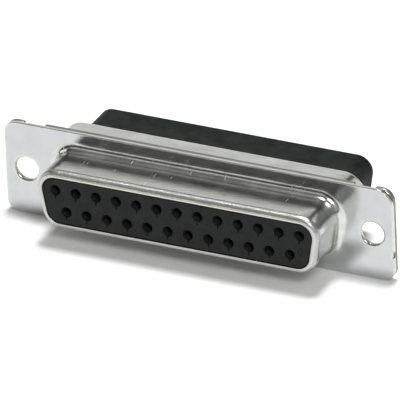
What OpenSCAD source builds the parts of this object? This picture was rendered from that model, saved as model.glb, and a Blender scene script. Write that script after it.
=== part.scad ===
// D-shaped socket connector, shell size 25: two rows of socket contacts in a
// two-part insulator, held between two drawn sheet-metal shells.
// X runs along the flange, Y points from the mating side to the wire side, Z is up.
// The origin is the centre of the flange's front face. Sizes are in millimetres.

/* [Flange] */
// Width of the mounting flange
flange_w = 52.8; // [52.6:0.1:53.4]
// Height of the mounting flange
flange_h = 12.5; // [12.3:0.05:12.8]
// Thickness of each shell's sheet
sheet_t = 0.5; // [0.45:0.01:0.52]
// Distance between the two mounting holes
hole_spacing = 47.04; // [46.9:0.01:47.2]
// Diameter of the mounting holes in the front sheet
hole_d = 3.1; // [3.05:0.01:3.2]
// Width of the coined lead-in around each mounting hole
hole_lead = 0.28; // [0.1:0.01:0.35]
// Depth of that lead-in
hole_lead_depth = 0.08; // [0.04:0.01:0.1]
// Diameter of the larger holes in the rear sheet
rear_hole_d = 3.7; // [3.4:0.1:4]
// Corner radius of the flange
flange_r = 1.6; // [1:0.1:2.4]
// Corner radius of the front sheet at its upper right corner, as seen from the mating side
flange_r_upper_right = 2.3; // [1:0.1:2.4]
// Depth of the shallow nick in the front sheet's right edge, as seen from the mating side
nick_depth = 0.2; // [0.1:0.05:0.3]
// Depth of the notches in the rear sheet's long edges
notch_depth = 0.6; // [0.3:0.1:0.8]
// Inner and outer end of each notch, measured from the centre
notch_from = 21.1; // [21:0.1:21.8]
notch_to = 23.8; // [23:0.1:24]

/* [Mating skirt] */
// Outside width of the D-shaped skirt
skirt_w = 38.3; // [38.1:0.1:38.5]
// Outside height of the skirt
skirt_h = 7.9; // [7.7:0.05:8]
// Outside corner radius of the skirt
skirt_r = 2.6; // [2.4:0.1:2.8]
// How far the skirt stands out in front of the flange
skirt_depth = 6.3; // [5.8:0.1:6.6]
// Outside radius where the skirt turns into the flange
skirt_root = 1; // [0.8:0.05:1.3]
// Outside radius of the lip that is turned in at the skirt's mouth
skirt_lip = 0.78; // [0.72:0.01:0.85]

/* [Rear skirt] */
// Outside width of the rear shell's skirt
rear_w = 41.3; // [41.1:0.1:41.5]
// Outside height of the rear shell's skirt
rear_h = 10.6; // [10.5:0.05:10.7]
// Outside corner radius of the rear skirt
rear_r = 3; // [2.8:0.1:3.2]
// Distance from the flange's front face to the end of the rear skirt
rear_depth = 5.2; // [4.6:0.1:5.6]
// Outside radius where the rear skirt turns into its flange
rear_root = 0.6; // [0.5:0.05:0.65]
// Outside radius of the lip that holds the insulator in the rear skirt
rear_lip = 0.8; // [0.75:0.05:0.85]

/* [Insulator] */
// How far the insulator's face lies behind the skirt's mouth
face_recess = 0.05; // [0.05:0.05:0.5]
// Distance from the flange's front face to the plane where the two insulators meet
split_depth = 1.9; // [1.7:0.1:2.2]
// Distance from the flange's front face to the end of the rear block
block_depth = 11.2; // [10.2:0.1:11.6]
// Width of the rear block
block_w = 37.3; // [37:0.1:38.4]
// Height of the rear block
block_h = 8.4; // [8:0.1:8.8]
// Corner radius of the rear block
block_r = 2; // [1.5:0.1:2.5]

/* [Contacts] */
// Distance between neighbouring contacts in a row
pitch = 2.76; // [2.74:0.01:2.77]
// Distance between the two rows
row_gap = 2.84; // [2.8:0.01:2.84]
// Diameter of each entry in the insulator's face
entry_d = 1.3; // [1.1:0.05:1.4]
// Width of the lead-in chamfer around each entry
entry_lead = 0.16; // [0.05:0.01:0.2]
// Width of the small slit under each entry
slit_w = 0.16; // [0.1:0.01:0.2]
// How far each slit reaches below its entry
slit_reach = 0.52; // [0.3:0.01:0.6]
// Diameter of the pin that the contacts take
pin_d = 1; // [0.9:0.05:1.05]
// Outside diameter of the contact's barrels
contact_d = 1.65; // [1.6:0.05:1.7]
// Diameter of the contact's shoulder
shoulder_d = 2.15; // [2.1:0.05:2.2]
// Distance of the contact's mouth in front of the flange's front face
contact_front = 4.1; // [3.8:0.1:5]
// Distance of the contact's wire end behind the flange's front face
contact_rear = 9.2; // [8.5:0.1:9.5]

/* [Hidden] */
$fn = 96;

tin = [0.78, 0.79, 0.78];
black = [0.13, 0.14, 0.14];
gold = [0.83, 0.67, 0.33];

// Clearance between the insulators and the shells
play = 0.08;
// Gap between the insulator's face and the lip around it
face_gap = 0.1;
// Outside clearance of a contact in its cavity
contact_play = 0.05;
// Gap left at each end of a contact's shoulder
shoulder_play = 0.04;
shoulder_len = 1.2;

// Slope of the D's short sides: 10 degrees, rounded so that its sine and cosine are short
side_angle = asin(0.173255);

// A D is drawn from the centres of its four corner arcs: [x above, x below, height, distance].
function d_shape(w, h, r) =
  let (side = round(100 * (h - 2 * r) / cos(side_angle)) / 100)
  [w / 2 - r, w / 2 - r - side * sin(side_angle), side * cos(side_angle) / 2, side];
skirt_d = d_shape(skirt_w, skirt_h, skirt_r);
rear_d = d_shape(rear_w, rear_h, rear_r);
block_d = d_shape(block_w, block_h, block_r);

// Position of contact n: the upper row runs from right to left, then the lower row.
upper_n = 13;
function contact_x(n) = n <= upper_n ? ((upper_n + 1) / 2 - n) * pitch
                                     : (upper_n * 1.5 - n) * pitch;
function contact_z(n) = n <= upper_n ? row_gap / 2 : -row_gap / 2;
contact_n = 25;

// Local +Z is the direction in which the mating skirt points.
module towards_mate() rotate([90, 0, 0]) children();

// Outline of a D whose corner arcs have radius r about the centres d.
module d_outline(d, r) {
  c = cos(side_angle);
  s = sin(side_angle);
  polygon([[-d[0], d[2] + r], [d[0], d[2] + r],
           [d[0] + r * c, d[2] - r * s], [d[1] + r * c, -d[2] - r * s],
           [d[1], -d[2] - r], [-d[1], -d[2] - r],
           [-d[1] - r * c, -d[2] - r * s], [-d[0] - r * c, d[2] - r * s]]);
  for (m = [1, -1]) {
    translate([m * d[0], d[2]]) circle(r);
    translate([m * d[1], -d[2]]) circle(r);
  }
}

// Carries a wall section around a D. The section's x is measured from the arc centres.
// Each half is walked from its upper to its lower arc, and neighbouring pieces overlap
// where they share a surface.
module d_wall(d) for (m = [0, 1]) mirror([m, 0, 0])
  translate([d[0], d[2], 0]) {
    rotate([0, 0, 90]) wall_run(d[0] + 1, 1) children();
    rotate([0, 0, 90]) mirror([0, 1, 0]) rotate_extrude(angle = 60) children();
    rotate([0, 0, -side_angle]) {
      rotate_extrude(angle = 60) children();
      wall_run(d[3], -1) children();
      translate([0, -d[3], 0]) {
        mirror([0, 1, 0]) rotate_extrude(angle = 50) children();
        rotate([0, 0, side_angle]) rotate([0, 0, -90]) {
          rotate_extrude(angle = 50) children();
          wall_run(d[1] + 1, -1) children();
        }
      }
    }
  }
module wall_run(length, way)
  rotate([90, 0, 0]) translate([0, 0, way < 0 ? 0 : -length]) linear_extrude(length) children();

// Section of a drawn skirt: root bend at the flange, straight wall, lip turned inwards.
// The flange's inner face lies at y = 0 and its outer face, away from the skirt, at y = -t.
module skirt_section(r, depth, root, lip, t) {
  translate([r + root, -t]) square([0.3, t]);
  translate([r + root, root]) intersection() {
    difference() {
      circle(root + t);
      circle(root);
    }
    translate([-root - t, -root - t]) square(root + t);
  }
  translate([r - t, root]) square([t, depth - root - lip]);
  translate([r - lip, depth - lip]) intersection() {
    difference() {
      circle(lip);
      circle(lip - t);
    }
    square(lip);
  }
}

// Outline of a sheet flange with one corner radius and a second one at its upper right.
module flange_outline(r, upper_right) {
  x = flange_w / 2;
  y = flange_h / 2;
  polygon([[-x + r, -y], [x - r, -y], [x, -y + r], [x, y - upper_right],
           [x - upper_right, y], [-x + r, y], [-x, y - r], [-x, -y + r]]);
  translate([-x + r, -y + r]) circle(r);
  translate([x - r, -y + r]) circle(r);
  translate([-x + r, y - r]) circle(r);
  translate([x - upper_right, y - upper_right]) circle(upper_right);
}

// Front shell: flange sheet and drawn mating skirt in one piece.
module front_shell() color(tin) towards_mate() {
  difference() {
    translate([0, 0, -sheet_t]) linear_extrude(sheet_t) difference() {
      flange_outline(flange_r, flange_r_upper_right);
      d_outline(skirt_d, skirt_r + skirt_root + 0.15);
      translate([flange_w / 2 - nick_depth, -2.9]) square([1, 0.75]);
    }
    for (m = [1, -1]) translate([m * hole_spacing / 2, 0, 0]) {
      translate([0, 0, -sheet_t - 1]) cylinder(h = sheet_t + 2, d = hole_d);
      translate([0, 0, -hole_lead_depth]) cylinder(h = 2 * hole_lead_depth,
        d1 = hole_d, d2 = hole_d + 4 * hole_lead);
    }
  }
  d_wall(skirt_d) skirt_section(skirt_r, skirt_depth, skirt_root, skirt_lip, sheet_t);
}

// Rear shell: flange sheet and a shallower, larger skirt that points to the wire side.
module rear_shell() color(tin) towards_mate() {
  translate([0, 0, -2 * sheet_t]) linear_extrude(sheet_t) difference() {
    flange_outline(flange_r, flange_r);
    d_outline(rear_d, rear_r + rear_root + 0.15);
    for (m = [1, -1]) {
      translate([m * hole_spacing / 2, 0]) circle(d = rear_hole_d);
      for (v = [1, -1])
        translate([m * (notch_from + notch_to) / 2, v * flange_h / 2])
          square([notch_to - notch_from, 2 * notch_depth], center = true);
    }
  }
  mirror([0, 0, 1]) translate([0, 0, 2 * sheet_t])
    d_wall(rear_d) skirt_section(rear_r, rear_depth - 2 * sheet_t, rear_root, rear_lip, sheet_t);
}

// Front insulator: fills the mating skirt, with a collar that the rear shell clamps.
module front_insulator() color(black) towards_mate() difference() {
  union() {
    translate([0, 0, -split_depth]) linear_extrude(split_depth - sheet_t)
      d_outline(rear_d, rear_r - sheet_t - play);
    translate([0, 0, -sheet_t - 0.3]) linear_extrude(skirt_depth - skirt_lip + sheet_t + 0.2)
      d_outline(skirt_d, skirt_r - sheet_t - play);
    translate([0, 0, skirt_depth - skirt_lip - 0.4])
      linear_extrude(skirt_lip - face_recess + 0.4)
        d_outline(skirt_d, skirt_r - skirt_lip - face_gap);
  }
  for (n = [1:contact_n]) translate([contact_x(n), contact_z(n), 0]) front_cavity();
}

// One cavity: chamfered entry with a slit, room for the socket, pocket for the shoulder.
module front_cavity() {
  face = skirt_depth - face_recess;
  translate([0, 0, contact_front + 0.2]) cylinder(h = face, d = entry_d);
  translate([0, 0, face - entry_lead])
    cylinder(h = entry_lead + 0.1, d1 = entry_d, d2 = entry_d + 2 * (entry_lead + 0.1));
  translate([-slit_w / 2, -entry_d / 2 - slit_reach, face - 1])
    cube([slit_w, entry_d / 2 + slit_reach, 1.1]);
  translate([0, 0, -split_depth - 0.1])
    cylinder(h = contact_front + 0.2 + split_depth + 0.1, d = contact_d + 2 * contact_play);
  translate([0, 0, -split_depth - 0.1])
    cylinder(h = shoulder_len + 2 * shoulder_play + 0.1, d = shoulder_d + 2 * contact_play);
}

// Rear insulator: the rest of the collar and the deep block that guides the wires.
module rear_insulator() color(black) towards_mate() difference() {
  union() {
    translate([0, 0, -rear_depth + 0.6]) linear_extrude(rear_depth - 0.6 - split_depth)
      d_outline(rear_d, rear_r - sheet_t - play - 0.02);
    translate([0, 0, -block_depth]) linear_extrude(block_depth - split_depth - 0.3)
      d_outline(block_d, block_r);
  }
  for (n = [1:contact_n]) translate([contact_x(n), contact_z(n), 0]) rear_cavity();
}

// One cavity of the rear block: a close hole behind the shoulder, then room to crimp.
module rear_cavity() {
  translate([0, 0, -block_depth - 1]) cylinder(h = block_depth + 1, d = contact_d + 2 * contact_play);
  translate([0, 0, -block_depth - 1]) cylinder(h = block_depth - 3.6, d = 2.1);
}

// Socket contact n: slotted socket, shoulder, and a barrel bored for the wire.
module socket_contact(n) color(gold)
  translate([contact_x(n), 0, contact_z(n)]) towards_mate() {
    shoulder = -split_depth + shoulder_play;
    bore = pin_d / 2 + 0.02;
    difference() {
      rotate_extrude() polygon([[0, contact_front], [contact_d / 2 - 0.12, contact_front],
        [contact_d / 2, contact_front - 0.12], [contact_d / 2, shoulder + shoulder_len],
        [shoulder_d / 2, shoulder + shoulder_len], [shoulder_d / 2, shoulder],
        [contact_d / 2, shoulder], [contact_d / 2, -contact_rear],
        [0, -contact_rear]]);
      translate([0, 0, contact_front - 4.6]) cylinder(h = 5, r = bore);
      translate([0, 0, contact_front - 0.2]) cylinder(h = 0.25, r1 = bore, r2 = bore + 0.25);
      translate([-0.1, -2, contact_front - 3.4]) cube([0.2, 4, 4]);
      translate([0, 0, -contact_rear - 1]) cylinder(h = 5, d = 1.15);
      translate([0, 0, -contact_rear + 3.4]) rotate([-90, 0, 0]) cylinder(h = 3, d = 0.5);
    }
  }

front_shell();
rear_shell();
front_insulator();
rear_insulator();
socket_contact(1);  // contact_01
socket_contact(2);  // contact_02
socket_contact(3);  // contact_03
socket_contact(4);  // contact_04
socket_contact(5);  // contact_05
socket_contact(6);  // contact_06
socket_contact(7);  // contact_07
socket_contact(8);  // contact_08
socket_contact(9);  // contact_09
socket_contact(10);  // contact_10
socket_contact(11);  // contact_11
socket_contact(12);  // contact_12
socket_contact(13);  // contact_13
socket_contact(14);  // contact_14
socket_contact(15);  // contact_15
socket_contact(16);  // contact_16
socket_contact(17);  // contact_17
socket_contact(18);  // contact_18
socket_contact(19);  // contact_19
socket_contact(20);  // contact_20
socket_contact(21);  // contact_21
socket_contact(22);  // contact_22
socket_contact(23);  // contact_23
socket_contact(24);  // contact_24
socket_contact(25);  // contact_25
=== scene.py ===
import bpy, bmesh, math
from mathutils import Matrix, Quaternion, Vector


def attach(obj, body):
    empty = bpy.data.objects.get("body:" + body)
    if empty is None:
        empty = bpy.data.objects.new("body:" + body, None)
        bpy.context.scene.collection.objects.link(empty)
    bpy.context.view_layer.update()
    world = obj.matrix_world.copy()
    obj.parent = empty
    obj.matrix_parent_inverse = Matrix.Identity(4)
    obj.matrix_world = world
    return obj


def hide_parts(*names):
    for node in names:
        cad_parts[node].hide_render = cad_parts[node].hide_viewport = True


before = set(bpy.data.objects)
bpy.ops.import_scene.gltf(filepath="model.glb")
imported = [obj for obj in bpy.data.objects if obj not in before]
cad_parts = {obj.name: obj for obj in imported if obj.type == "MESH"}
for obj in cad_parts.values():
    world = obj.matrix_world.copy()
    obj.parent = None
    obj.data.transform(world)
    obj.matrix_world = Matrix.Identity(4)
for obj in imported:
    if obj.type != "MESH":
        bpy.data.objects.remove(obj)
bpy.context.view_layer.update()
MM = 0.001

# ---------------------------------------------------------------- sizes, in mm
THETA = math.asin(0.173255)
FLANGE_W, FLANGE_H, T = 52.8, 12.5, 0.5
SPACING, HOLE_R, HOLE_LEAD, REAR_HOLE_R = 47.04, 1.55, 0.30, 1.85
SKIRT_DEPTH, SKIRT_ROOT, SKIRT_LIP = 6.3, 1.0, 0.78
REAR_DEPTH, REAR_ROOT, REAR_LIP = 5.2, 0.6, 0.8
FACE, SPLIT, BLOCK_END = 6.25, 1.9, 11.2
PITCH, ROW = 2.76, 2.84


def d_shape(w, h, r):
    side = round(100 * (h - 2 * r) / math.cos(THETA)) / 100
    return (w / 2 - r, w / 2 - r - side * math.sin(THETA), side * math.cos(THETA) / 2)


SKIRT_D, SKIRT_R = d_shape(38.3, 7.9, 2.6), 2.6
REAR_D, REAR_R = d_shape(41.3, 10.6, 3.0), 3.0
BLOCK_D, BLOCK_R = d_shape(37.3, 8.4, 2.0), 2.0
ENTRIES = [((7 - n) * PITCH, ROW / 2) for n in range(1, 14)] + [((19.5 - n) * PITCH, -ROW / 2) for n in range(14, 26)]


def d_path(d, arc=14, runs=(27, 3, 26, 3)):
    """Stations (cx, cz, nx, nz) round a D, clockwise from the upper left, as many on every D."""
    out = []
    h = math.pi / 2
    legs = [((-d[0], d[2]), (d[0], d[2]), h, -THETA), ((d[0], d[2]), (d[1], -d[2]), -THETA, -h),
            ((d[1], -d[2]), (-d[1], -d[2]), -h, -math.pi + THETA), ((-d[1], -d[2]), (-d[0], d[2]), -math.pi + THETA, -3 * h)]
    for (a, c, ang, nxt), n in zip(legs, runs):
        out += [(a[0] + (c[0] - a[0]) * i / n, a[1] + (c[1] - a[1]) * i / n, math.cos(ang), math.sin(ang)) for i in range(n)]
        out += [(c[0], c[1], math.cos(ang + (nxt - ang) * i / arc), math.sin(ang + (nxt - ang) * i / arc)) for i in range(arc)]
    return out


def arc_pts(cx, cy, r, a0, a1, n):
    return [(cx + r * math.cos(math.radians(a0 + (a1 - a0) * i / n)), cy + r * math.sin(math.radians(a0 + (a1 - a0) * i / n))) for i in range(n + 1)]


def rounded(points, e, seg=8):
    """Rounds each corner of a clockwise outline. points are (x, z, radius), already moved in by e."""
    out = []
    n = len(points)
    for i in range(n):
        x, z, r = points[i]
        p, a, b = Vector((x, z)), Vector(points[i - 1][:2]), Vector(points[(i + 1) % n][:2])
        u, v = (a - p).normalized(), (b - p).normalized()
        convex = (u.x * v.y - u.y * v.x) > 0  # clockwise outline
        r = max(r - e, 0.01) if convex else r + e
        half = u.angle(v) / 2
        cut = r / math.tan(half)
        c = p + (u + v).normalized() * (r / math.sin(half))
        s, t = p + u * cut - c, p + v * cut - c
        a0, a1 = math.atan2(s.y, s.x), math.atan2(t.y, t.x)
        da = (a1 - a0 + math.pi) % (2 * math.pi) - math.pi
        out += [(c.x + r * math.cos(a0 + da * k / seg), c.y + r * math.sin(a0 + da * k / seg)) for k in range(seg + 1)]
    return out


def front_outline(e):
    x, z = FLANGE_W / 2 - e, FLANGE_H / 2 - e
    return rounded([(-x, z, 1.6), (x, z, 2.3), (x, -2.15 + e, 0.06), (x - 0.2, -2.15 + e, 0.06), (x - 0.2, -2.9 - e, 0.06),
                    (x, -2.9 - e, 0.06), (x, -z, 1.6), (-x, -z, 1.6)], e)


def rear_outline(e):
    x, z, a, b, c = FLANGE_W / 2 - e, FLANGE_H / 2 - e, 23.8 + e, 21.1 - e, 0.6
    return rounded([(-x, z, 1.6), (-a, z, 0.35), (-a, z - c, 0.15), (-b, z - c, 0.15), (-b, z, 0.2),
                    (b, z, 0.2), (b, z - c, 0.15), (a, z - c, 0.15), (a, z, 0.35), (x, z, 1.6),
                    (x, -z, 1.6), (a, -z, 0.35), (a, -z + c, 0.15), (b, -z + c, 0.15), (b, -z, 0.2),
                    (-b, -z, 0.2), (-b, -z + c, 0.15), (-a, -z + c, 0.15), (-a, -z, 0.35), (-x, -z, 1.6)], e)


# ---------------------------------------------------------------- mesh building
class Build:
    """Closed meshes from loops of points, with a UV map in millimetres."""

    def __init__(self, place):
        self.bm = bmesh.new()
        self.uv = self.bm.loops.layers.uv.new("UVMap")
        self.place = place  # (x, u, z) in mm to the row frame

    def loop(self, pts, u):
        return [self.bm.verts.new([c * MM for c in self.place(x, u, z)]) for x, z in pts]

    def ring(self, path, r, u):
        return self.loop([(cx + r * nx, cz + r * nz) for cx, cz, nx, nz in path], u)

    def bridge(self, loops, along=None, start=0.0):
        """Quads between following loops. UV: x is the way round from start, y the way along the section."""
        lengths = [0.0]
        for a, b in zip(loops, loops[1:]):
            lengths.append(lengths[-1] + (a[0].co - b[0].co).length / MM)
        n = len(loops[0])
        ref = along or loops[0]
        s = [start]
        for i in range(n):
            s.append(s[-1] + (ref[i].co - ref[(i + 1) % n].co).length / MM)
        for k, (a, b) in enumerate(zip(loops, loops[1:])):
            for i in range(n):
                j = (i + 1) % n
                q = [a[i], a[j], b[j], b[i]]
                if len(set(q)) < 4:
                    continue
                try:
                    f = self.bm.faces.new(q)
                except ValueError:
                    continue
                f.smooth = True
                for l, (x, y) in zip(f.loops, ((s[i], lengths[k]), (s[i + 1], lengths[k]), (s[i + 1], lengths[k + 1]), (s[i], lengths[k + 1]))):
                    l[self.uv].uv = (x, y)

    def plate(self, *loops):
        edges = []
        for l in loops:
            for i in range(len(l)):
                a, b = l[i], l[(i + 1) % len(l)]
                e = self.bm.edges.get((a, b)) or self.bm.edges.new((a, b))
                edges.append(e)
        got = bmesh.ops.triangle_fill(self.bm, use_beauty=True, use_dissolve=False, edges=edges)
        for f in got["geom"]:
            if isinstance(f, bmesh.types.BMFace):
                f.smooth = False
                for l in f.loops:
                    l[self.uv].uv = (l.vert.co.x / MM + 200, l.vert.co.z / MM + 200)

    def finish(self, name, node, material):
        bmesh.ops.remove_doubles(self.bm, verts=self.bm.verts, dist=1e-8)
        bmesh.ops.recalc_face_normals(self.bm, faces=self.bm.faces)
        open_edges = [e for e in self.bm.edges if len(e.link_faces) != 2]
        if open_edges:
            print("OPEN EDGES", name, len(open_edges))
        me = bpy.data.meshes.new(name)
        self.bm.to_mesh(me)
        self.bm.free()
        me.materials.append(material)
        ob = bpy.data.objects.new(name, me)
        bpy.context.scene.collection.objects.link(ob)
        wn = ob.modifiers.new("even_normals", "WEIGHTED_NORMAL")
        wn.mode, wn.weight, wn.keep_sharp = "FACE_AREA", 100, True
        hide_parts(node)
        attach(ob, "root")
        return ob


def circle(x, z, r, n=64):
    return [(x + r * math.cos(-2 * math.pi * i / n), z + r * math.sin(-2 * math.pi * i / n)) for i in range(n)]


def oval(x, z, a, c, n=32):
    return [(x + a * math.cos(-2 * math.pi * i / n), z + c * math.sin(-2 * math.pi * i / n)) for i in range(n)]


def shell(name, node, material, place, d, r, depth, root, lip, outline, edge, back_edge, edge_start, hole_profile):
    b = Build(place)
    path = d_path(d)
    rim = r + root + 0.12
    prof = [(rim, 0.0)]
    prof += arc_pts(r + root, root, root, 270, 180, 12)
    prof += [(r, root + (depth - lip - root) * k) for k in (0.25, 0.5, 0.75)]
    prof += arc_pts(r - lip, depth - lip, lip, 0, 84, 10)
    e = 0.07
    prof += [(r - lip + e * 0.3, depth - 0.004), (r - lip - e * 0.0, depth - e * 0.35), (r - lip, depth - e)]
    prof += [(r - lip, depth - T + 0.05)]
    prof += arc_pts(r - lip, depth - lip, lip - T, 88, 0, 5)
    prof += arc_pts(r + root, root, root + T, 180, 270, 8)
    prof += [(rim, -T)]
    loops = [b.ring(path, pr, pu) for pr, pu in prof]
    b.bridge(loops, along=loops[len(loops) // 2])
    # outer edge of the sheet: rounded by the punch on its outer face, crisp on the other
    q = [(edge * (1 - math.sin(math.radians(a))), -edge * (1 - math.cos(math.radians(a)))) for a in range(0, 91, 15)]
    q = [(edge + 0.12, 0)] + q + back_edge + [(back_edge[-1][0] + 0.08, -T)]
    outer = [b.loop(outline(ins), u) for ins, u in q]
    b.bridge(outer, start=edge_start)
    holes = []
    for s in (-1, 1):
        prof = [(hole_profile[0][0] + 0.1, 0)] + hole_profile + [(hole_profile[-1][0] + 0.05, -T)]
        hl = [b.loop(circle(s * SPACING / 2, 0, rr), u) for rr, u in prof]
        b.bridge(hl)
        holes.append(hl)
    b.plate(loops[0], outer[0], *[h[0] for h in holes])
    b.plate(loops[-1], outer[-1], *[h[-1] for h in holes])
    return b.finish(name, node, material)


# ---------------------------------------------------------------- materials
def nodes_of(name):
    m = bpy.data.materials.new(name)
    m.use_nodes = True
    nt = m.node_tree
    nt.nodes.clear()
    out = nt.nodes.new("ShaderNodeOutputMaterial")
    p = nt.nodes.new("ShaderNodeBsdfPrincipled")
    nt.links.new(p.outputs[0], out.inputs[0])
    return m, nt, p


def add(nt, kind, **props):
    n = nt.nodes.new(kind)
    for k, v in props.items():
        if k.startswith("i_"):
            n.inputs[k[2:].replace("_", " ")].default_value = v
        else:
            setattr(n, k, v)
    return n


def noise(nt, vec, scale, detail=3.0, rough=0.55, distortion=0.0):
    n = nt.nodes.new("ShaderNodeTexNoise")
    n.inputs["Scale"].default_value = scale
    n.inputs["Detail"].default_value = detail
    n.inputs["Roughness"].default_value = rough
    n.inputs["Distortion"].default_value = distortion
    nt.links.new(vec, n.inputs["Vector"])
    return n.outputs["Fac"]


def mapping(nt, vec, scale):
    n = nt.nodes.new("ShaderNodeMapping")
    n.inputs["Scale"].default_value = scale
    nt.links.new(vec, n.inputs["Vector"])
    return n.outputs[0]


def ramp(nt, fac, lo, hi, a, b):
    n = nt.nodes.new("ShaderNodeMapRange")
    n.inputs["From Min"].default_value = lo
    n.inputs["From Max"].default_value = hi
    n.inputs["To Min"].default_value = a
    n.inputs["To Max"].default_value = b
    nt.links.new(fac, n.inputs["Value"])
    return n.outputs[0]


def mix_rgb(nt, fac, a, b):
    n = nt.nodes.new("ShaderNodeMix")
    n.data_type = "RGBA"
    nt.links.new(fac, n.inputs[0])
    for sock, v in ((n.inputs[6], a), (n.inputs[7], b)):
        if isinstance(v, tuple):
            sock.default_value = (*v, 1)
        else:
            nt.links.new(v, sock)
    return n.outputs[2]


def mix_val(nt, fac, a, b):
    n = nt.nodes.new("ShaderNodeMix")
    n.data_type = "FLOAT"
    nt.links.new(fac, n.inputs[0])
    for sock, v in ((n.inputs[2], a), (n.inputs[3], b)):
        if isinstance(v, (int, float)):
            sock.default_value = v
        else:
            nt.links.new(v, sock)
    return n.outputs[0]


def math2(nt, op, a, b):
    n = nt.nodes.new("ShaderNodeMath")
    n.operation = op
    for sock, v in ((n.inputs[0], a), (n.inputs[1], b)):
        if isinstance(v, (int, float)):
            sock.default_value = v
        else:
            nt.links.new(v, sock)
    return n.outputs[0]


def bump(nt, height, strength, distance, normal=None):
    n = nt.nodes.new("ShaderNodeBump")
    n.inputs["Strength"].default_value = strength
    n.inputs["Distance"].default_value = distance
    nt.links.new(height, n.inputs["Height"])
    if normal is not None:
        nt.links.new(normal, n.inputs["Normal"])
    return n.outputs[0]


def tin_plate(name, base=(0.66, 0.665, 0.64), dark=(0.50, 0.50, 0.475), flat=(0.55, 0.56, 0.567), rough=(0.15, 0.24),
              flat_rough=(0.12, 0.18), streak=0.26, nicks=0.65):
    """Bright tin plate over drawn steel. The drawn skirt has lines along it, cloudy patches and small dents.
    The flat sheet, whose map lies beyond 150 mm, is calmer. Beyond 290 mm is the rear sheet's sheared, duller edge."""
    m, nt, p = nodes_of(name)
    uv = add(nt, "ShaderNodeUVMap", uv_map="UVMap").outputs[0]
    obj = add(nt, "ShaderNodeTexCoord").outputs["Object"]
    sep = nt.nodes.new("ShaderNodeSeparateXYZ")
    nt.links.new(uv, sep.inputs[0])
    drawn = math2(nt, "LESS_THAN", sep.outputs[0], 150.0)
    so = nt.nodes.new("ShaderNodeSeparateXYZ")
    nt.links.new(obj, so.inputs[0])
    run = ramp(nt, math2(nt, "ABSOLUTE", so.outputs[0], 0), 0.0162, 0.0185, 1, 0)  # the long sides
    lines = noise(nt, mapping(nt, uv, (0.09, 5.0, 1)), 1.0, 4.0, 0.6, 0.2)
    fine = noise(nt, mapping(nt, uv, (0.30, 20.0, 1)), 1.0, 2.0, 0.5)
    cloud = noise(nt, obj, 420.0, 4.0, 0.6)
    patch = noise(nt, mapping(nt, obj, (0.35, 1, 1)), 900.0, 3.0, 0.55)
    speck = noise(nt, obj, 5200.0, 2.0, 0.6)
    p.inputs["Metallic"].default_value = 1.0
    streaky = math2(nt, "ADD", math2(nt, "MULTIPLY", lines, 0.35), math2(nt, "ADD", math2(nt, "MULTIPLY", cloud, 0.35), math2(nt, "MULTIPLY", patch, 0.30)))
    tone = mix_val(nt, drawn, cloud, streaky)
    lo = mix_val(nt, drawn, 0.20, 0.36)
    shade = nt.nodes.new("ShaderNodeMapRange")
    nt.links.new(tone, shade.inputs["Value"])
    nt.links.new(lo, shade.inputs["From Min"])
    shade.inputs["From Max"].default_value = 0.60
    edge = math2(nt, "GREATER_THAN", sep.outputs[0], 290.0)
    nick = math2(nt, "MULTIPLY", drawn, ramp(nt, noise(nt, mapping(nt, uv, (4.5, 0.42, 1)), 1.0, 0.0), 0.80, 0.83, 0, nicks))
    calm = mix_rgb(nt, shade.outputs[0], tuple(c * 0.9 for c in flat), flat)
    tin = mix_rgb(nt, drawn, calm, mix_rgb(nt, shade.outputs[0], dark, base))
    # the folded lip is rougher and a little darker. At its inner end, the pale yellow tint on the upper half is a
    # painted highlight and the darker tint on the lower half is painted shade
    lip = math2(nt, "MULTIPLY", drawn, math2(nt, "MULTIPLY", ramp(nt, sep.outputs[1], 6.1, 6.35, 0, 1), ramp(nt, sep.outputs[1], 6.95, 7.15, 1, 0)))
    lip_tip_painted_light = math2(nt, "MULTIPLY", drawn, ramp(nt, sep.outputs[1], 7.1, 7.3, 0, 1))
    # painted highlight: the lip's tip is paler and yellow above mid-height; painted shade: darker below it
    painted_highlight_top = ramp(nt, so.outputs[2], 0.0024, 0.0032, 0, 1)
    tin = mix_rgb(nt, lip_tip_painted_light, tin, mix_rgb(nt, painted_highlight_top, (0.44, 0.44, 0.43), (0.60, 0.60, 0.49)))
    tin = mix_rgb(nt, math2(nt, "MULTIPLY", lip, 0.8), tin, (0.44, 0.44, 0.425))
    sheared = mix_rgb(nt, ramp(nt, fine, 0.35, 0.65, 0, 1), (0.20, 0.20, 0.19), (0.30, 0.30, 0.29))
    tin = mix_rgb(nt, nick, tin, (0.86, 0.86, 0.83))
    nt.links.new(mix_rgb(nt, edge, tin, sheared), p.inputs["Base Color"])
    r_drawn = ramp(nt, streaky, 0.35, 0.65, rough[0], rough[1])
    r_flat = ramp(nt, cloud, 0.3, 0.7, flat_rough[0], flat_rough[1])
    r_all = mix_val(nt, nick, mix_val(nt, lip, mix_val(nt, drawn, r_flat, r_drawn), 0.34), 0.60)
    nt.links.new(mix_val(nt, edge, r_all, 0.38), p.inputs["Roughness"])
    h = math2(nt, "MULTIPLY", math2(nt, "ADD", lines, math2(nt, "MULTIPLY", fine, 0.35)), math2(nt, "MULTIPLY", drawn, run))
    n1 = bump(nt, h, streak, 0.00003)
    dents = math2(nt, "MULTIPLY", patch, math2(nt, "ADD", math2(nt, "MULTIPLY", drawn, 0.85), 0.15))
    dents = math2(nt, "MULTIPLY", dents, math2(nt, "ADD", math2(nt, "MULTIPLY", lip, 1.0), 1.0))
    n2 = bump(nt, dents, 0.34, 0.00006, n1)
    n3 = bump(nt, speck, 0.10, 0.00001, n2)
    crinkle = noise(nt, obj, 3900.0, 2.0, 0.6)
    where = math2(nt, "ADD", lip, math2(nt, "MULTIPLY", math2(nt, "MULTIPLY", drawn, run), 0.14))
    nt.links.new(bump(nt, math2(nt, "MULTIPLY", crinkle, where), 0.8, 0.00006, n3), p.inputs["Normal"])
    return m


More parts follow.
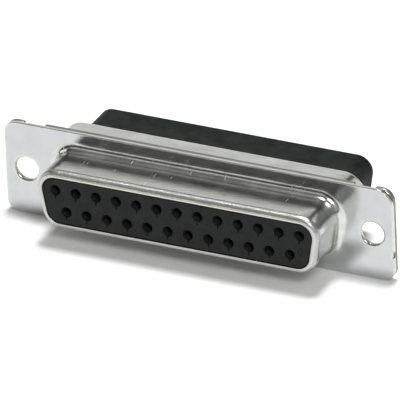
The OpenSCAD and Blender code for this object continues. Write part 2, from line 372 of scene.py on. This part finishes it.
def black_plastic(name, base=(0.0075, 0.0082, 0.0082), rough=(0.46, 0.60), spec=0.22):
    """Glass-filled moulding: fine grain, slightly cloudy gloss."""
    m, nt, p = nodes_of(name)
    obj = add(nt, "ShaderNodeTexCoord").outputs["Object"]
    grain = noise(nt, obj, 9000.0, 3.0, 0.6)
    cloud = noise(nt, obj, 480.0, 5.0, 0.65)
    col = mix_rgb(nt, ramp(nt, cloud, 0.40, 0.60, 0, 1), tuple(c * 0.55 for c in base), tuple(c * 1.6 for c in base))
    nt.links.new(col, p.inputs["Base Color"])
    nt.links.new(ramp(nt, cloud, 0.3, 0.7, rough[0], rough[1]), p.inputs["Roughness"])
    p.inputs["Specular IOR Level"].default_value = spec
    n1 = bump(nt, grain, 0.25, 0.00001)
    n2 = bump(nt, cloud, 0.15, 0.00004, n1)
    nt.links.new(n2, p.inputs["Normal"])
    return m


def gold(name):
    m, nt, p = nodes_of(name)
    obj = add(nt, "ShaderNodeTexCoord").outputs["Object"]
    cloud = noise(nt, obj, 900.0, 3.0, 0.6)
    turned = noise(nt, mapping(nt, obj, (1, 30, 1)), 700.0, 2.0, 0.5)
    p.inputs["Metallic"].default_value = 1.0
    nt.links.new(mix_rgb(nt, cloud, (0.72, 0.52, 0.20), (0.88, 0.68, 0.32)), p.inputs["Base Color"])
    nt.links.new(ramp(nt, cloud, 0.3, 0.7, 0.20, 0.34), p.inputs["Roughness"])
    nt.links.new(bump(nt, turned, 0.2, 0.00001), p.inputs["Normal"])
    return m


TIN_FRONT = tin_plate("tin_front")
TIN_REAR = tin_plate("tin_rear", streak=0.13, nicks=0.0)
BLACK_FRONT = black_plastic("black_front")
BLACK_REAR = black_plastic("black_rear", base=(0.0095, 0.0104, 0.0102), rough=(0.50, 0.62), spec=0.07)
GOLD = gold("gold_flash")

# ---------------------------------------------------------------- shells
to_mate = lambda x, u, z: (x, -u, z)
to_wire = lambda x, u, z: (x, 2 * T + u, z)
lead = [(HOLE_R + HOLE_LEAD * (1 - math.sin(math.radians(a))), -0.26 * (1 - math.cos(math.radians(a)))) for a in range(0, 91, 15)]
lead += [(HOLE_R, -T + 0.03), (HOLE_R + 0.03, -T)]
front_shell = shell("front_shell_sheet", "front_shell", TIN_FRONT, to_mate, SKIRT_D, SKIRT_R,
                    SKIRT_DEPTH, SKIRT_ROOT, SKIRT_LIP, front_outline, 0.09, [(0, -T + 0.07), (0.02, -T + 0.02), (0.07, -T)], 0.0, lead)
rear_lead = [(REAR_HOLE_R + 0.06 * (1 - math.sin(math.radians(a))), -0.06 * (1 - math.cos(math.radians(a)))) for a in range(0, 91, 30)]
rear_lead += [(REAR_HOLE_R, -T + 0.03), (REAR_HOLE_R + 0.03, -T)]
rear_shell = shell("rear_shell_sheet", "rear_shell", TIN_REAR, to_wire, REAR_D, REAR_R,
                   REAR_DEPTH - 2 * T, REAR_ROOT, REAR_LIP, rear_outline, 0.06, [(0, -0.20), (0.02, -0.32), (0.05, -0.42), (0.09, -T)], 300.0, rear_lead)


# ---------------------------------------------------------------- insulators
def keyhole(x, z, r, half=0.0, reach=0.0, n=40):
    """A circle with a narrow slit below it, clockwise. With reach 0 the slit's corners lie on the circle."""
    g = math.asin(half / r) if half else 0.02
    pts = []
    for i in range(n + 1):
        a = -math.pi / 2 - g - (2 * math.pi - 2 * g) * i / n
        pts.append((x + r * math.cos(a), z + r * math.sin(a)))
    if half and reach:
        pts += [(x + half, z - reach), (x - half, z - reach)]
    else:
        w = r * math.sin(g)
        pts += [(x + w * 0.4, z - r), (x - w * 0.4, z - r)]
    return pts


def front_insulator():
    b = Build(to_mate)
    rp, sp = d_path(REAR_D), d_path(SKIRT_D)
    nose, body, collar = SKIRT_R - SKIRT_LIP - 0.1, SKIRT_R - T - 0.08, REAR_R - T - 0.08
    e = 0.10
    sec = [(sp, nose - e * (1 - math.sin(math.radians(a))), FACE - e * (1 - math.cos(math.radians(a)))) for a in range(0, 91, 18)]
    sec += [(sp, nose, SKIRT_DEPTH - SKIRT_LIP - 0.1), (sp, body, SKIRT_DEPTH - SKIRT_LIP - 0.1), (sp, body, -T), (rp, collar, -T), (rp, collar, -SPLIT)]
    loops = [b.ring(p, r, u) for p, r, u in sec]
    b.bridge(loops)
    tops, tails = [], []
    for x, z in ENTRIES:
        hw, reach = 0.08, 0.65 + 0.46
        prof = [b.loop(keyhole(x, z, 0.74, hw, reach), FACE)]
        prof.append(b.loop(keyhole(x, z, 0.72, hw, reach - 0.01), FACE - 0.01))
        prof.append(b.loop(keyhole(x, z, 0.665, hw, reach - 0.02), FACE - 0.09))
        prof.append(b.loop(keyhole(x, z, 0.65, hw, reach - 0.02), FACE - 0.12))
        prof.append(b.loop(keyhole(x, z, 0.65, hw, reach - 0.02), FACE - 1.0))
        prof.append(b.loop(keyhole(x, z, 0.65), FACE - 1.0))
        prof.append(b.loop(keyhole(x, z, 0.65), 4.3))
        prof.append(b.loop(keyhole(x, z, 0.875), 4.3))
        prof.append(b.loop(keyhole(x, z, 0.875), -0.62))
        prof.append(b.loop(keyhole(x, z, 1.125), -0.62))
        prof.append(b.loop(keyhole(x, z, 1.125), -SPLIT))
        b.bridge(prof)
        tops.append(prof[0])
        tails.append(prof[-1])
    gate = [b.loop(oval(16.7, -0.72, 0.34 * k, 0.60 * k), FACE - u) for k, u in ((1, 0), (0.88, 0.07), (0.76, 0.07), (0.62, 0.005))]
    b.bridge(gate)
    b.plate(gate[-1])
    b.plate(loops[0], gate[0], *tops)
    b.plate(loops[-1], *tails)
    return b.finish("front_insulator_moulding", "front_insulator", BLACK_FRONT)


def rear_insulator():
    b = Build(lambda x, y, z: (x, y, z))
    rp, kp = d_path(REAR_D), d_path(BLOCK_D)
    collar = REAR_R - T - 0.1
    sec = [(rp, collar, SPLIT), (rp, collar, REAR_DEPTH - 0.6), (kp, BLOCK_R, REAR_DEPTH - 0.6)]
    e = 0.22
    sec += [(kp, BLOCK_R - e * (1 - math.cos(math.radians(a))), BLOCK_END - e * (1 - math.sin(math.radians(a)))) for a in range(0, 91, 15)]
    loops = [b.ring(p, r, u) for p, r, u in sec]
    b.bridge(loops)
    heads, tails = [], []
    for x, z in ENTRIES:
        prof = [b.loop(circle(x, z, r, 40), u) for r, u in ((0.875, SPLIT), (0.875, 4.6), (1.05, 4.6), (1.05, BLOCK_END - 0.12), (1.17, BLOCK_END))]
        b.bridge(prof)
        heads.append(prof[0])
        tails.append(prof[-1])
    b.plate(loops[0], *heads)
    b.plate(loops[-1], *tails)
    return b.finish("rear_insulator_moulding", "rear_insulator", BLACK_REAR)


front_insulator()
rear_insulator()
for n in range(1, 26):
    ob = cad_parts["contact_%02d" % n]
    ob.data.materials.clear()
    ob.data.materials.append(GOLD)

# ---------------------------------------------------------------- floor, world, lights, camera
bpy.ops.mesh.primitive_plane_add(size=12, location=(0, 0, -FLANGE_H / 2 * MM))
floor = bpy.context.object
floor.name = "floor"
fm, fnt, fp = nodes_of("floor_white")
fobj = add(fnt, "ShaderNodeTexCoord").outputs["Object"]
fn = noise(fnt, fobj, 900.0, 2.0, 0.5)
fnt.links.new(mix_rgb(fnt, fn, (0.90, 0.90, 0.90), (0.92, 0.92, 0.92)), fp.inputs["Base Color"])
fp.inputs["Roughness"].default_value = 0.9
fp.inputs["Specular IOR Level"].default_value = 0.1
floor.data.materials.append(fm)

w = bpy.data.worlds.new("studio")
bpy.context.scene.world = w
w.use_nodes = True
wt = w.node_tree
wt.nodes.clear()
wo = wt.nodes.new("ShaderNodeOutputWorld")
bg = wt.nodes.new("ShaderNodeBackground")
wt.links.new(bg.outputs[0], wo.inputs[0])
gen = wt.nodes.new("ShaderNodeTexCoord").outputs["Generated"]


def wmath(op, x, y):
    n = wt.nodes.new("ShaderNodeMath")
    n.operation = op
    for sock, v in ((n.inputs[0], x), (n.inputs[1], y)):
        if isinstance(v, (int, float)):
            sock.default_value = v
        else:
            wt.links.new(v, sock)
    return n.outputs[0]


# The room from front horizon (0) over the ceiling (90) to back horizon (180): angle, brightness
ROOM = [(0, 0.80), (5, 0.70), (10, 0.09), (36, 0.06), (39, 0.30), (42, 0.88), (47, 0.88), (52, 0.42), (61, 0.27), (70, 0.17), (77, 0.12),
        (100, 0.13), (114, 0.12), (134, 0.16), (144, 0.80), (153, 0.88), (166, 0.88), (180, 0.72)]
sx = wt.nodes.new("ShaderNodeSeparateXYZ")
wt.links.new(gen, sx.inputs[0])
pitch_angle = wmath("ARCTAN2", sx.outputs[2], wmath("MULTIPLY", sx.outputs[1], -1.0))
room = wt.nodes.new("ShaderNodeValToRGB")
cr = room.color_ramp
cr.interpolation = "EASE"
while len(cr.elements) > 1:
    cr.elements.remove(cr.elements[0])
for k, (deg, val) in enumerate(ROOM):
    el = cr.elements[0] if k == 0 else cr.elements.new(deg / 180)
    el.position = deg / 180
    warm = max(0.0, 0.5 - val) * 0.16
    el.color = (val * (1 + warm * 0.4) / 2, val * (1 + warm * 0.5) / 2, val * (1 - warm * 0.6) / 2, 1)
wt.links.new(wmath("DIVIDE", pitch_angle, math.pi), room.inputs[0])
# The screens in front are narrow and leave the sides dimmer; behind, only a strip right of the middle is dim.
def across(points):
    n = wt.nodes.new("ShaderNodeFloatCurve")
    curve = n.mapping.curves[0]
    for k, (px, py) in enumerate(points):
        pt = curve.points[k] if k < 2 else curve.points.new(px, py)
        pt.location = (px, py)
    n.mapping.update()
    wt.links.new(wmath("ADD", wmath("MULTIPLY", sx.outputs[0], 0.5), 0.5), n.inputs["Value"])
    return n.outputs[0]


front_side = across([(0.0, 0.40), (0.14, 0.40), (0.20, 1.0), (0.42, 1.0), (0.48, 0.38), (1.0, 0.38)])
back_side = across([(0.0, 0.9), (0.20, 1.0), (0.49, 1.0), (0.54, 0.16), (0.60, 0.16), (0.66, 1.0), (1.0, 1.0)])
behind = wt.nodes.new("ShaderNodeMapRange")
behind.interpolation_type = "SMOOTHSTEP"
behind.inputs["From Min"].default_value = math.radians(118)
behind.inputs["From Max"].default_value = math.radians(138)
wt.links.new(pitch_angle, behind.inputs["Value"])
mixed = wmath("ADD", wmath("MULTIPLY", behind.outputs[0], back_side),
              wmath("MULTIPLY", wmath("SUBTRACT", 1.0, behind.outputs[0]), front_side))
wt.links.new(room.outputs[0], bg.inputs["Color"])
wt.links.new(wmath("MULTIPLY", mixed, 2.0), bg.inputs["Strength"])
# a pale wall on the right, in front
side = [wt.nodes.new("ShaderNodeMapRange") for _ in range(3)]
for n, socket, (lo, hi) in zip(side, (sx.outputs[0], sx.outputs[2], wmath("MULTIPLY", sx.outputs[1], -1.0)), ((0.22, 0.42), (0.05, 0.20), (-0.25, 0.10))):
    n.interpolation_type = "SMOOTHSTEP"
    n.inputs["From Min"].default_value, n.inputs["From Max"].default_value = lo, hi
    wt.links.new(socket, n.inputs["Value"])
wall = wt.nodes.new("ShaderNodeBackground")
wall.inputs["Color"].default_value = (1, 1, 1, 1)
wt.links.new(wmath("MULTIPLY", wmath("MULTIPLY", side[0].outputs[0], side[1].outputs[0]), wmath("MULTIPLY", side[2].outputs[0], 0.36)), wall.inputs["Strength"])
both = wt.nodes.new("ShaderNodeAddShader")
wt.links.new(bg.outputs[0], both.inputs[0])
wt.links.new(wall.outputs[0], both.inputs[1])
wt.links.new(both.outputs[0], wo.inputs[0])


def area(name, direction, distance, size, power, color=(1, 1, 1)):
    d = Vector(direction).normalized()
    l = bpy.data.lights.new(name, "AREA")
    l.shape, l.size, l.energy, l.color = "DISK", size, power, color
    o = bpy.data.objects.new(name, l)
    o.location = d * distance
    o.rotation_mode = "QUATERNION"
    o.rotation_quaternion = d.to_track_quat("Z", "Y")
    o.visible_camera = False
    bpy.context.scene.collection.objects.link(o)
    return o


area("key", (0.50, -0.52, 0.70), 0.8, 0.28, 2.0)
area("top", (0.00, 0.15, 0.99), 0.8, 0.20, 6.0)
area("left", (-0.92, -0.10, 0.30), 0.8, 0.36, 0.5)

AZ, EL, ROLL, SCALE, DIST = 26.45, 28.05, -2.5, 8.122, 2.0
a, e = math.radians(AZ), math.radians(EL)
back = Vector((math.sin(a) * math.cos(e), -math.cos(a) * math.cos(e), math.sin(e)))
cam = bpy.data.cameras.new("camera")
cam.sensor_width = 36.0
cam.lens = SCALE * 1000 * DIST * 36.0 / 400
cam.clip_start, cam.clip_end = 0.05, 50
co = bpy.data.objects.new("camera", cam)
TX, TY = -0.155, -0.128  # object's offset on the picture, mm
q = back.to_track_quat("Z", "Y")
right, up = q @ Vector((1, 0, 0)), q @ Vector((0, 1, 0))
co.rotation_mode = "QUATERNION"
roll = Quaternion(back, math.radians(ROLL))
co.rotation_quaternion = roll @ q
right, up = roll @ right, roll @ up
co.location = back * DIST - (right * TX + up * TY) * MM
bpy.context.scene.collection.objects.link(co)
bpy.context.scene.camera = co
bpy.context.scene.view_settings.view_transform = "Standard"
bpy.context.scene.view_settings.look = "None"
